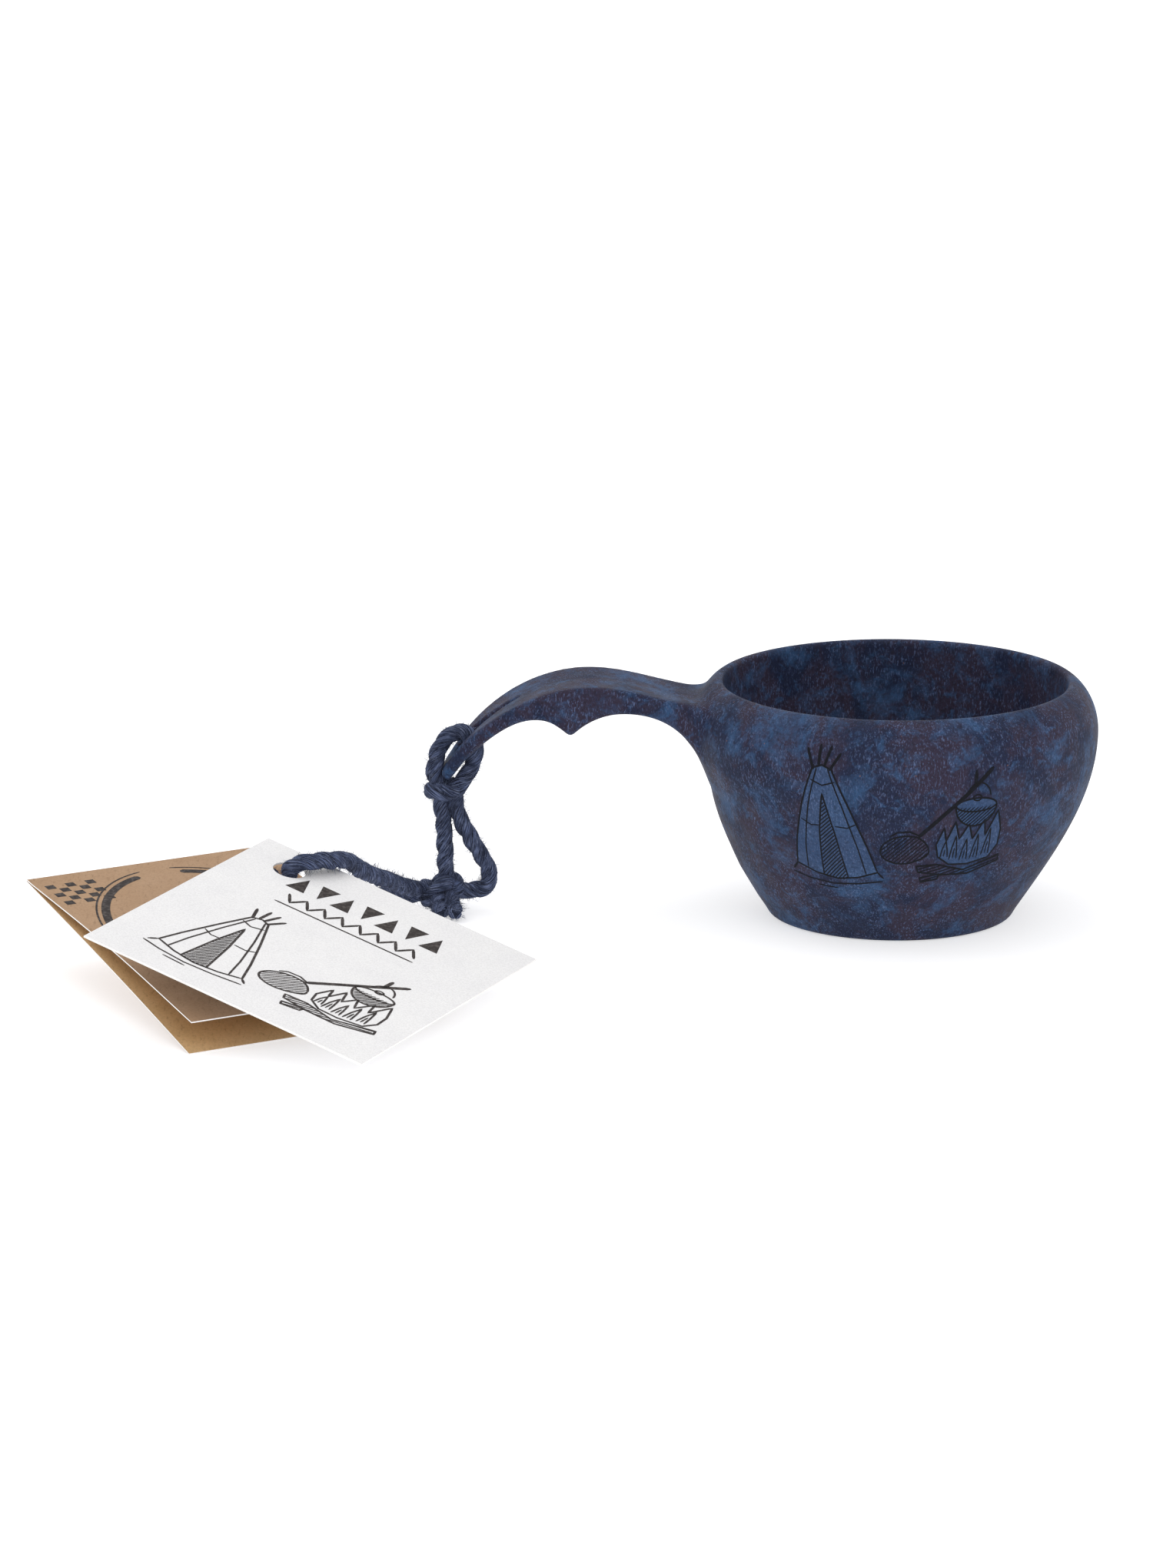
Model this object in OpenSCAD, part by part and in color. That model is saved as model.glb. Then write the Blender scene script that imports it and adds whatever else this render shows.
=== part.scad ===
// Kuksa drinking cup with a finger-notched handle, a twisted cord lanyard and two hang tags.
// Millimetres. The origin is the centre of the flat base, +Z is up and the handle points along -X.

/* [Bowl] */
// Outer radius at the widest place
bowl_r = 47.5; // [40:0.5:60]
// Height of the rim
bowl_h = 56.3; // [48:0.1:70]
// Radius of the flat base
base_r = 27.2; // [22:0.1:33]
// Radius of the mouth
mouth_r = 40.3; // [34:0.1:48]
// Thickness of the bottom
floor_t = 4.5; // [3:0.1:6]

/* [Handle] */
// Length of the handle from the bowl's wall to its tip
handle_reach = 59.5; // [50:0.5:72]
// Width of the grip
grip_w = 23; // [19:0.5:27.5]
// Width of the rounded tip
tip_w = 12; // [10:0.5:14.5]
// Depth of the ridge between the two finger notches
ridge_d = 3.4; // [2:0.1:5]
// Sideways clearance of the cord in its slot
slot_play = 0.6; // [0.3:0.1:1]

/* [Cord] */
// Diameter of the twisted cord
cord_d = 4; // [3.4:0.1:4.8]

/* [Card] */
// Width of the stiff card
card_w = 72; // [60:1:87]
// Height of the stiff card
card_h = 80; // [66:1:96]
// Thickness of the stiff card
card_t = 0.5; // [0.4:0.05:0.8]

/* [Leaflet] */
// Length of each panel from the fold to its free edge
leaf_l = 84; // [70:1:101]
// Width of the panels along the fold
leaf_w = 60; // [50:1:72]
// Thickness of the paper
leaf_t = 0.3; // [0.2:0.05:0.4]
// Angle at which the springy fold stands open
leaf_gape = 5; // [4:0.5:6]

/* [Hidden] */
$fn = 96;

body_blue = [0.17, 0.18, 0.29];
cord_blue = [0.18, 0.21, 0.36];
cord_r = cord_d / 2;

// ---- Bowl ----
widest_z = bowl_h - 11.8;
lip_w = 1.8;
foot_round = 1.2;
steps = 10;

// ---- Handle, drawn beside the bowl's widest place ----
root_x = -bowl_r;
tip_x = root_x - handle_reach;
slot_r = cord_r + slot_play;
// How far the hand-set outlines move when the bowl or the handle changes size
dx = tip_x + 107;
dz = bowl_h - 56.3;
tip_l = 14;
reach_k = (handle_reach - tip_l) / (59.5 - tip_l);
// How much wider than the routes were set for the cord is, on each side of its middle
extra = cord_r - 2;

// ---- Cord: route points set by hand, along the middle of the cord ----
// The eye goes through the handle's slot and round its tip
eye_route = [[-101.9, 0, 30.6], [-100.0, 0, 33.2], [-98.6, 0, 36.4], [-98.3, 0, 39.6], [-99.5, 0, 42.6],
             [-101.9, 0, 44.0], [-104.6, 0, 43.0], [-106.7, 0, 40.4], [-107.7, 0, 37.0], [-108.3, 0, 33.6],
             [-107.2, 0, 30.6]];
eye_c = [-102.4, 0, 36];
hitch_c = [-105, 0, 28.6];
hitch_l = 10;
hitch_r = cord_r + 0.8;
straight_route = [[-106.2, 0, 24.6], [-106, 0, 20.6], [-105.7, 0, 15.4], [-105.6, 0, 10.6]];
bowed_route = [[-102.4, 0, 24.6], [-100.4, 0, 20.2], [-97.4, 0, 14.8], [-95.2, 0, 10.2], [-95, 0, 7.4],
               [-96.6, 0, 5.4], [-99.4, 0, 4.8]];
knot_c = [-106.5, 0, 5];
knot_l = 10;
knot_r = cord_r + 2.6;
tail_routes = [[[-107.5, -3.6, 3.6], [-107.8, -7.5, 2.6], [-107.2, -11, 2.3]],
               [[-103.6, -3.6, 3.6], [-102.8, -7.5, 2.6], [-102.8, -11.5, 2.3]]];
tag_route = [[-110.6, -0.6, 5.2], [-114.8, -9, 8.2], [-117.8, -18, 12], [-121, -28, 15.8], [-124.5, -37, 20],
             [-126.6, -43.1, 23.4 + extra], [-129.6, -47.7, 24.8 + extra], [-134, -51.3, 25.5 + extra],
             [-137.4, -53, 25.5 + extra],
             [-139.4, -52.6, 24], [-140.2, -51.6, 21.6], [-141, -49.4, 19.6], [-143, -45.6, 19.4],
             [-145.6, -41, 20.2], [-148, -37, 20.9], [-149.2, -34.6, 19.6], [-149.4, -33, 16.4],
             [-148.4, -31, 12.6], [-145.6, -26, 8.6], [-140.6, -17, 5.2], [-134, -6.6, 3], [-127, 1.2, 2.4],
             [-120, 4.2, 2.4], [-114.5, 2.6, 3], [-110.8, 1, 4]];
tube_sides = 8;

// ---- Tags, placed by the holes that the cord goes through ----
hole_r = cord_r + 1.8;
card_hole = [-139.8, -52, 23.2];
card_inset = [12, 10.5];
card_turn = -27;
card_pitch = 2.6;
card_low_z = 3.4;
// The card leans down to the ground, or on the leaflet's cover where it is too narrow to reach it
lean_on_cover = 16.2;
lean_to_ground = asin((card_hole[2] - card_low_z - (card_h - card_inset[1]) * sin(card_pitch))
                      / (card_w - card_inset[0]));
card_roll = min(lean_on_cover, lean_to_ground);
leaf_hole = [-149.3, -34];
leaf_inset = [9, 13];
leaf_turn = 30;
fold_z = 20.2;
fold_gap = 0.4;
back_tilt = asin((fold_z - leaf_t) / leaf_l);
cover_tilt = back_tilt - leaf_gape;

// ---- Curves ----
function bezier_at(p, t) = pow(1 - t, 3) * p[0] + 3 * t * pow(1 - t, 2) * p[1]
    + 3 * t * t * (1 - t) * p[2] + pow(t, 3) * p[3];
function bezier(p, n = steps) = [for (i = [0 : n - 1]) bezier_at(p, i / n)];
function moved(p, shift) = [for (q = p) q + shift];
function grown(p, c) = [for (q = p) q + unit(q - c) * extra * 0.6];
function mirrored(p) = [for (i = [len(p) - 1 : -1 : 0]) [p[i][0], -p[i][1]]];

// ---- Swept tube ----
function unit(v) = v / norm(v);
function heading(p, i) = unit(p[min(i + 1, len(p) - 1)] - p[max(i - 1, 0)]);
function across(v, t) = unit(v - t * (v * t));
// A side direction carried from ring to ring, so that the tube doesn't twist
function side_dir(p, i) = i == 0 ? across([0.2, 1, 0.1], heading(p, 0))
    : across(side_dir(p, i - 1), heading(p, i));
function ring(p, i, r) = let (t = heading(p, i), a = side_dir(p, i), b = cross(t, a))
    [for (k = [0 : tube_sides - 1]) let (w = 360 * k / tube_sides) p[i] + r * (cos(w) * a + sin(w) * b)];
module tube(p, r = cord_r) {
    last = len(p) - 1;
    n = tube_sides;
    points = [for (i = [0 : last]) each ring(p, i, r)];
    walls = [for (i = [0 : last - 1], k = [0 : n - 1])
             [i * n + k, i * n + (k + 1) % n, (i + 1) * n + (k + 1) % n, (i + 1) * n + k]];
    start_cap = [for (k = [0 : n - 1]) k];
    end_cap = [for (k = [n - 1 : -1 : 0]) last * n + k];
    polyhedron(points, concat([for (w = walls) [w[0], w[2], w[1]]], [for (w = walls) [w[0], w[3], w[2]]],
                              [start_cap], [end_cap]));
}
// A lump of wound cord lying along X
module lump(l, r) {
    rotate([0, 90, 0])
        rotate_extrude()
            polygon([[0, -l / 2], [r * 0.7, -l / 2], [r, -l / 4], [r, l / 4], [r * 0.7, l / 2], [0, l / 2]]);
}

// ---- Bowl ----
outer_wall = concat(
    bezier([[base_r, 0], [base_r + foot_round, 0], [base_r + foot_round, 1], [base_r + foot_round + 0.6, 2]], 3),
    bezier([[base_r + foot_round + 0.6, 2], [base_r + 9.9, bowl_h * 0.26],
            [bowl_r, bowl_h * 0.51], [bowl_r, widest_z]]),
    bezier([[bowl_r, widest_z], [bowl_r, widest_z + 5.5],
            [mouth_r + lip_w + 2.6, bowl_h - 2], [mouth_r + lip_w, bowl_h - 0.5]]),
    bezier([[mouth_r + lip_w, bowl_h - 0.5], [mouth_r + lip_w - 0.6, bowl_h],
            [mouth_r + 0.5, bowl_h], [mouth_r, bowl_h - 0.8]], 5));
inner_wall = concat(
    bezier([[mouth_r, bowl_h - 0.8], [mouth_r - 0.8, bowl_h * 0.68],
            [mouth_r - 4.5, bowl_h * 0.3], [mouth_r - 13.3, floor_t + 4.5]]),
    bezier([[mouth_r - 13.3, floor_t + 4.5], [mouth_r - 17, floor_t + 1.2],
            [mouth_r - 22, floor_t], [mouth_r - 27, floor_t]], 6),
    [[mouth_r - 27, floor_t]]);

module bowl_outside() {
    rotate_extrude()
        polygon(concat([[0, 0]], outer_wall, [[mouth_r, bowl_h - 0.8], [0, bowl_h - 0.8]]));
}
module bowl() {
    color(body_blue)
        rotate_extrude()
            polygon(concat([[0, 0]], outer_wall, inner_wall, [[0, floor_t]]));
}

// ---- Handle ----
// Outline seen from the side, X along the handle and Y up; the tip keeps its shape and the grip stretches
function from_tip(d) = min(d, tip_l) + max(0, d - tip_l) * reach_k;
function stretched(p) = [for (q = p) [tip_x + from_tip(q[0] + 107), q[1] + dz]];
ridge_z = 48.4 - ridge_d;
side_outline = concat(
    bezier(stretched([[-106, 34.3], [-101.2, 44.6], [-87, 56.8], [-71.5, 56.8]]), 14),
    bezier(stretched([[-71.5, 56.8], [-61, 56.8], [-54, 52.4], [-44, 52.2]])),
    stretched([[-44, 52.2], [-36, 50], [-36, 31], [-43.4, 31]]),
    bezier(stretched([[-44.6, 35], [-47, 44], [-55, 49.8], [-63.6, 49.8]])),
    bezier(stretched([[-63.6, 49.8], [-68.5, 49.8], [-72.4, ridge_z + 2.6], [-75, ridge_z]]), 6),
    bezier(stretched([[-76.8, ridge_z], [-79.2, ridge_z + 2], [-80.6, 48.4], [-83.9, 48.4]]), 6),
    bezier(stretched([[-83.9, 48.4], [-92.5, 48.4], [-99.5, 38], [-103.3, 32.7]]), 12),
    stretched([[-103.3, 32.7], [-104.9, 32.9]]));
// Half of the outline seen from above, from the tip to inside the bowl
plan_half = concat(
    bezier([[tip_x, 0], [tip_x, tip_w * 0.4], [tip_x + 2, tip_w / 2], [tip_x + 6, tip_w / 2]], 5),
    bezier([[tip_x + 6, tip_w / 2], [tip_x + 10, tip_w / 2 + 2.6],
            [tip_x + 14, grip_w / 2], [tip_x + 24, grip_w / 2]], 6),
    bezier([[root_x - 9, grip_w / 2], [root_x - 3, grip_w / 2],
            [root_x, grip_w / 2 + 0.5], [root_x + 3, grip_w / 2 + 3]], 6),
    [[root_x + 3, grip_w / 2 + 3], [root_x + 12, grip_w / 2 + 3]]);
tip_lean = 55;
slot_near = 7;
slot_far = 12;
groove_l = 16;

// The slot through the tip, with a pointed thumb groove leading up from it
module cord_slot() {
    translate([tip_x + 3.4, 0, 32.2 + dz])
        rotate([0, -tip_lean, 0]) {
            for (s = [slot_near, slot_far])
                translate([s, 0, -4])
                    cylinder(r = slot_r, h = 16);
            translate([slot_near, -slot_r, -4])
                cube([slot_far - slot_near, 2 * slot_r, 16]);
        }
    translate([tip_x + 3.4, 0, 32.2 + dz])
        rotate([0, -tip_lean, 0])
            translate([slot_far, 0, 2.6])
                linear_extrude(height = 12)
                    polygon([[0, -slot_r * 0.8], [groove_l, 0], [0, slot_r * 0.8]]);
}
module handle() {
    color(body_blue)
        difference() {
            intersection() {
                translate([0, grip_w * 1.5, 0])
                    rotate([90, 0, 0])
                        linear_extrude(height = grip_w * 3)
                            polygon(side_outline);
                translate([0, 0, 20])
                    linear_extrude(height = bowl_h)
                        polygon(concat(plan_half, mirrored(plan_half)));
            }
            bowl_outside();
            cord_slot();
        }
}

// ---- Lanyard: one cord, drawn stretch by stretch ----
at_tip = [dx, 0, dz];
beside = [dx, 0, 0];
module cord_eye() {
    color(cord_blue)
        tube(grown(moved(eye_route, at_tip), eye_c + at_tip));
}
module cord_hitch() {
    color(cord_blue)
        translate(hitch_c + at_tip)
            lump(hitch_l, hitch_r);
}
module cord_strand_straight() {
    color(cord_blue)
        tube(moved(straight_route, beside - [extra, 0, 0]));
}
module cord_strand_bowed() {
    color(cord_blue)
        tube(moved(bowed_route, beside + [extra, 0, 0]));
}
module cord_knot() {
    color(cord_blue)
        translate(knot_c + beside)
            lump(knot_l, knot_r);
}
module cord_tails() {
    color(cord_blue)
        for (route = tail_routes)
            tube(moved(route, beside));
}
module cord_tag_loop() {
    color(cord_blue)
        tube(moved(tag_route, beside));
}

// ---- Tags ----
module card() {
    color([0.95, 0.94, 0.95])
        translate(card_hole + beside)
            rotate([card_pitch, card_roll, card_turn])
                difference() {
                    translate([-card_inset[0], card_inset[1] - card_h, 0])
                        cube([card_w, card_h, card_t]);
                    translate([0, 0, -1])
                        cylinder(r = hole_r, h = card_t + 2);
                }
}
// A panel hangs from the fold, which is its local X axis, and its face lies on one side of it
module leaflet_panel(tilt, low) {
    translate([leaf_hole[0] + dx, leaf_hole[1], fold_z])
        rotate([0, 0, leaf_turn])
            translate([0, leaf_inset[1] * cos(back_tilt), 0])
                rotate([tilt, 0, 0])
                    difference() {
                        translate([leaf_inset[0] - leaf_w, -leaf_l, low])
                            cube([leaf_w, leaf_l - fold_gap, leaf_t]);
                        translate([0, -leaf_inset[1], low - 1])
                            cylinder(r = hole_r, h = leaf_t + 2);
                    }
}
module leaflet_back() {
    color([0.62, 0.47, 0.30])
        leaflet_panel(back_tilt, -leaf_t);
}
module leaflet_cover() {
    color([0.78, 0.62, 0.45])
        leaflet_panel(cover_tilt, 0.05);
}

bowl();
handle();
cord_eye();
cord_hitch();
cord_strand_straight();
cord_strand_bowed();
cord_knot();
cord_tails();
cord_tag_loop();
card();
leaflet_back();
leaflet_cover();
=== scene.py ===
# Kuksa cup with a cord lanyard, a printed card and a folded leaflet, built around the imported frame.
import math
import random

import bmesh
import bpy
import numpy as np
from mathutils import Matrix, Vector, geometry
from mathutils.bvhtree import BVHTree


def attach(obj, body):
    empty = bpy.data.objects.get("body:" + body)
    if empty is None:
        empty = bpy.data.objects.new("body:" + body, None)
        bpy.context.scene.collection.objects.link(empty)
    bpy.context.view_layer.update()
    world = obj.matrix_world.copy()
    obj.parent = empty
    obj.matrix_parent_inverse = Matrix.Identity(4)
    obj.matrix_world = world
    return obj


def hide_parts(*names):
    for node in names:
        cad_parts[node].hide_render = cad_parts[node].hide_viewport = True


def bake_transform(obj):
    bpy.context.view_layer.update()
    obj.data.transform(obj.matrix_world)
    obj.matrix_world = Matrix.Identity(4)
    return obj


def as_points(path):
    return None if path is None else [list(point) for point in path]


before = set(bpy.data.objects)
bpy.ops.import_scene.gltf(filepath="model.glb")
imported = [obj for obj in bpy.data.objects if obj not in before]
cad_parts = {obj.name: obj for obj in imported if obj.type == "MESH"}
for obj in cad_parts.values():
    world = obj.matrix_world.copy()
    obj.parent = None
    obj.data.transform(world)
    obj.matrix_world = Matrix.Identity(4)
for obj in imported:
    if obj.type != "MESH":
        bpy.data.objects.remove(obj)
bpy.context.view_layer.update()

MM = 0.001
TAU = 2 * math.pi


# ---- small helpers
def mm(points):
    return [Vector(p) * MM for p in points]


def lerp(a, b, t):
    return a + (b - a) * t


def smoothstep(a, b, x):
    t = min(1.0, max(0.0, (x - a) / (b - a)))
    return t * t * (3 - 2 * t)


def bezier(p, n, end=False):
    out = []
    for i in range(n + (1 if end else 0)):
        t = i / n
        a, b, c, d = (1 - t) ** 3, 3 * t * (1 - t) ** 2, 3 * t * t * (1 - t), t ** 3
        out.append(tuple(a * p[0][k] + b * p[1][k] + c * p[2][k] + d * p[3][k] for k in range(len(p[0]))))
    return out


def curve_through(points, step, closed=False):
    """Catmull-Rom curve through the points, in steps of equal length."""
    n = len(points)
    fine = []
    for i in range(n if closed else n - 1):
        if closed:
            p0, p1, p2, p3 = (points[(i + k) % n] for k in (-1, 0, 1, 2))
        else:
            p0, p1, p2, p3 = (points[min(n - 1, max(0, i + k))] for k in (-1, 0, 1, 2))
        for j in range(16):
            t = j / 16
            fine.append(0.5 * (2 * p1 + (p2 - p0) * t + (2 * p0 - 5 * p1 + 4 * p2 - p3) * t * t
                               + (3 * p1 - p0 - 3 * p2 + p3) * t ** 3))
    fine.append(points[0] if closed else points[-1])
    length = sum((b - a).length for a, b in zip(fine, fine[1:]))
    count = max(4, round(length / step))
    out, run, k = [], 0.0, 0
    for i in range(count):
        target = length * i / count
        while k < len(fine) - 2 and run + (fine[k + 1] - fine[k]).length < target:
            run += (fine[k + 1] - fine[k]).length
            k += 1
        seg = (fine[k + 1] - fine[k]).length
        out.append(fine[k].lerp(fine[k + 1], 0 if seg < 1e-12 else (target - run) / seg))
    if not closed:
        out.append(fine[-1])
    return out, length


def mesh_object(name, verts, faces, materials, smooth=True, uvs=None, indices=None):
    me = bpy.data.meshes.new(name)
    me.from_pydata([tuple(v) for v in verts], [], faces)
    for m in materials:
        me.materials.append(m)
    me.polygons.foreach_set("use_smooth", [smooth] * len(me.polygons))
    if indices:
        me.polygons.foreach_set("material_index", indices)
    if uvs:
        layer = me.uv_layers.new(name="fibre")
        loops = np.empty(len(me.loops), np.int32)
        me.loops.foreach_get("vertex_index", loops)
        layer.data.foreach_set("uv", np.array(uvs, np.float32)[loops].ravel())
    me.update()
    ob = bpy.data.objects.new(name, me)
    bpy.context.scene.collection.objects.link(ob)
    return ob


def applied(ob, *modifiers):
    """Adds modifiers, given as (type, settings), and makes their result the object's own mesh."""
    for kind, settings in modifiers:
        mod = ob.modifiers.new(kind.lower(), kind)
        for key, value in settings.items():
            setattr(mod, key, value)
    dg = bpy.context.evaluated_depsgraph_get()
    me = bpy.data.meshes.new_from_object(ob.evaluated_get(dg))
    ob.modifiers.clear()
    old, ob.data = ob.data, me
    bpy.data.meshes.remove(old)
    return ob


def remove(ob):
    me = ob.data
    bpy.data.objects.remove(ob)
    bpy.data.meshes.remove(me)


# ---- materials
def rgb(r, g, b):
    """A screen colour, 0 to 255, as a linear one."""
    return tuple(((c / 255 + 0.055) / 1.055) ** 2.4 if c > 10 else c / 255 / 12.92 for c in (r, g, b)) + (1,)


class Nodes:
    """A material with short calls for the nodes that the materials here use."""

    def __init__(self, name):
        self.mat = bpy.data.materials.new(name)
        self.mat.use_nodes = True
        self.tree = self.mat.node_tree
        self.tree.nodes.clear()
        self.out = self.add("ShaderNodeOutputMaterial")
        self.bsdf = self.add("ShaderNodeBsdfPrincipled")
        self.link(self.bsdf.outputs[0], self.out.inputs["Surface"])

    def add(self, kind, **settings):
        node = self.tree.nodes.new(kind)
        for key, value in settings.items():
            setattr(node, key, value)
        return node

    def link(self, a, b):
        self.tree.links.new(a, b)

    def set(self, **values):
        for key, value in values.items():
            self.bsdf.inputs[key.replace("_", " ")].default_value = value

    def coords(self, which="Object", scale=(1, 1, 1), turn=(0, 0, 0)):
        tc = self.add("ShaderNodeTexCoord")
        mp = self.add("ShaderNodeMapping")
        mp.inputs["Scale"].default_value = scale
        mp.inputs["Rotation"].default_value = turn
        self.link(tc.outputs[which], mp.inputs["Vector"])
        return mp.outputs[0]

    def noise(self, at, scale, detail=3.0, rough=0.5, warp=0.0):
        n = self.add("ShaderNodeTexNoise")
        n.inputs["Scale"].default_value = scale
        n.inputs["Detail"].default_value = detail
        n.inputs["Roughness"].default_value = rough
        n.inputs["Distortion"].default_value = warp
        self.link(at, n.inputs["Vector"])
        return n.outputs["Fac"]

    def ramp(self, value, *stops):
        r = self.add("ShaderNodeValToRGB")
        el = r.color_ramp.elements
        while len(el) < len(stops):
            el.new(0.5)
        for e, (at, colour) in zip(el, stops):
            e.position = at
            e.color = colour if isinstance(colour, tuple) else (colour, colour, colour, 1)
        self.link(value, r.inputs[0])
        return r.outputs[0]

    def mix(self, amount, a, b, blend="MIX"):
        m = self.add("ShaderNodeMix", data_type="RGBA", blend_type=blend)
        for value, socket in ((amount, m.inputs[0]), (a, m.inputs[6]), (b, m.inputs[7])):
            if isinstance(value, (int, float, tuple)):
                socket.default_value = value
            else:
                self.link(value, socket)
        return m.outputs[2]

    def math(self, kind, a, b):
        m = self.add("ShaderNodeMath", operation=kind)
        for value, socket in ((a, m.inputs[0]), (b, m.inputs[1])):
            if isinstance(value, (int, float)):
                socket.default_value = value
            else:
                self.link(value, socket)
        return m.outputs[0]

    def bump(self, height, distance):
        b = self.add("ShaderNodeBump")
        b.inputs["Distance"].default_value = distance
        b.inputs["Strength"].default_value = 1.0
        self.link(height, b.inputs["Height"])
        self.link(b.outputs[0], self.bsdf.inputs["Normal"])

    def colour(self, value):
        self.link(value, self.bsdf.inputs["Base Color"])

    def roughness(self, value):
        self.link(value, self.bsdf.inputs["Roughness"])


def composite(name, navy, plum, pale, pale_amount):
    """Wood-fibre composite: cloudy dark blue with plum and pale clouds and fine light fibres."""
    n = Nodes(name)
    at = n.coords()
    clouds = n.ramp(n.noise(at, 62, 9, 0.7, 0.5), (0.44, navy), (0.55, plum))
    patches = n.ramp(n.noise(n.coords(turn=(0.4, 0.9, 0.2)), 90, 10, 0.74, 0.4),
                     (0.5, 0.0), (0.64, pale_amount))
    base = n.mix(patches, clouds, pale)
    small = n.ramp(n.noise(n.coords(turn=(2, 0.2, 0.7)), 240, 6, 0.66, 0.6),
                   (0.56, 0.0), (0.66, pale_amount * 0.8))
    base = n.mix(small, base, pale)
    fibres_up = n.noise(n.coords(scale=(1, 1, 0.45)), 3000, 2, 0.5)
    fibres_slant = n.noise(n.coords(scale=(1, 0.8, 0.3), turn=(0.6, 0.8, 0.3)), 2500, 2, 0.5)
    flecks = n.ramp(n.math("MAXIMUM", fibres_up, fibres_slant), (0.58, 0.0), (0.7, 0.6))
    thick = n.ramp(n.noise(at, 130, 3), (0.35, 0.3), (0.7, 1.0))
    base = n.mix(n.mix(1.0, flecks, thick, "MULTIPLY"), base, rgb(98, 116, 156))
    pores = n.ramp(n.noise(at, 1500, 3, 0.6), (0.3, 0.6), (0.52, 1.0))
    base = n.mix(1.0, base, pores, "MULTIPLY")
    rust = n.ramp(n.noise(n.coords(turn=(1, 0.3, 2)), 1100, 1), (0.79, 0.0), (0.83, 0.7))
    base = n.mix(rust, base, rgb(120, 82, 70))
    n.colour(base)
    n.roughness(n.ramp(n.noise(at, 160, 4), (0.3, 0.58), (0.7, 0.72)))
    n.set(Specular_IOR_Level=0.2)
    n.bump(n.math("ADD", n.noise(at, 1400, 3, 0.6), n.math("MULTIPLY", fibres_up, 0.7)), 0.00006)
    return n.mat


def yarn(name):
    n = Nodes(name)
    lines = n.noise(n.coords("UV", scale=(3.4, 0.09, 1), turn=(0, 0, 0.02)), 3, 4, 0.6, 0.2)
    fine = n.noise(n.coords("UV", scale=(8, 0.12, 1), turn=(0, 0, 0.03)), 4, 4, 0.65, 0.2)
    tone = n.noise(n.coords(), 260, 4)
    base = n.ramp(lines, (0.4, rgb(12, 17, 32)), (0.5, rgb(40, 49, 74)), (0.61, rgb(92, 104, 138)))
    base = n.mix(n.ramp(fine, (0.53, 0.0), (0.62, 0.8)), base, rgb(142, 153, 186))
    base = n.mix(n.ramp(tone, (0.4, 0.45), (0.6, 0.0)), base, rgb(26, 33, 52))
    n.colour(base)
    n.set(Roughness=0.9, Sheen_Weight=0.12, Sheen_Roughness=0.5, Sheen_Tint=rgb(140, 150, 190),
          Specular_IOR_Level=0.25)
    n.bump(n.math("ADD", lines, n.math("MULTIPLY", fine, 0.6)), 0.00035)
    return n.mat


def paper(name, light, dark, grain=2500, flake=0.0):
    """Uncoated paper: soft grain, faint clouds and, in kraft, darker fibres."""
    n = Nodes(name)
    at = n.coords()
    base = n.ramp(n.noise(at, 90, 5, 0.6), (0.3, dark), (0.7, light))
    if flake:
        hairs = n.ramp(n.noise(n.coords(scale=(1, 0.25, 1), turn=(0, 0, 0.5)), 1500, 3, 0.6),
                       (0.56, 0.0), (0.75, flake))
        base = n.mix(hairs, base, rgb(92, 66, 38))
    speck = n.ramp(n.noise(at, grain, 2), (0.35, 0.9), (0.6, 1.0))
    n.colour(n.mix(1.0, base, speck, "MULTIPLY"))
    n.set(Roughness=0.85, Specular_IOR_Level=0.3)
    n.bump(n.noise(at, grain, 4, 0.6), 0.00003)
    return n.mat


def ink(name, dark, light):
    """A printed or burnt line, a little worn through."""
    n = Nodes(name)
    n.colour(n.ramp(n.noise(n.coords(), 900, 3, 0.6), (0.45, dark), (0.8, light)))
    n.set(Roughness=0.8, Specular_IOR_Level=0.2)
    n.bump(n.noise(n.coords(), 2500, 2), 0.00002)
    return n.mat


MAT_BODY = composite("composite_navy", rgb(20, 29, 56), rgb(42, 35, 54), rgb(48, 82, 122), 0.64)
MAT_FILL = composite("composite_pale", rgb(42, 64, 98), rgb(47, 66, 98), rgb(60, 88, 124), 0.5)
MAT_CORD = yarn("yarn_indigo")
MAT_CARD = paper("card_white", rgb(228, 227, 227), rgb(223, 222, 223))
MAT_KRAFT = paper("kraft_cover", rgb(170, 140, 112), rgb(160, 129, 100), 1800, 0.35)
# The inside's kraft is partly the sheet's own inner side and partly painted light: it is lightened well past
# the cover's colour to offset the shade that falls inside the fold.
MAT_KRAFT_IN_LIT = paper("kraft_inside_painted_light", rgb(212, 178, 134), rgb(200, 166, 120), 1800, 0.35)
# The cut edges of card and leaflet are near white, whiter than the card and far from the kraft's brown: a
# painted highlight along the thin edges.
MAT_CUT_EDGE_HIGHLIGHT = paper("paper_cut_edge_painted_highlight", rgb(250, 248, 246), rgb(238, 236, 234))
MAT_INK = ink("ink_warm_grey", rgb(52, 47, 46), rgb(96, 90, 88))
MAT_BURN = ink("burnt_line", rgb(8, 10, 17), rgb(18, 22, 36))


# ---- camera
CAMERA_AT = (-0.0745, -1.4854, 0.4079)
CAMERA_PITCH = math.radians(75.75)
camera = bpy.data.objects.new("camera", bpy.data.cameras.new("camera"))
camera.data.lens = 150
camera.data.sensor_width = 36
camera.data.clip_end = 20
camera.location = CAMERA_AT
camera.rotation_euler = (CAMERA_PITCH, 0, 0)
bpy.context.scene.collection.objects.link(camera)
bpy.context.scene.camera = camera


# ---- cord
CORD_D = 0.004
PLY_R = 1.28 * MM         # radius of one ply
PLY_OFFSET = 0.78 * MM    # from the cord's middle line to a ply's
PLY_SIDES = 14
LAY = 13.5 * MM           # length of one turn of the plies
HAIRS = 14000             # loose hairs on a metre of cord
HAIR_REACH = 1.6 * MM     # how far the longest hair stands off
LOWEST = 0.0003           # no fibre lies lower than this over the ground
STEP = 0.45 * MM          # between two rings of a ply


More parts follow.
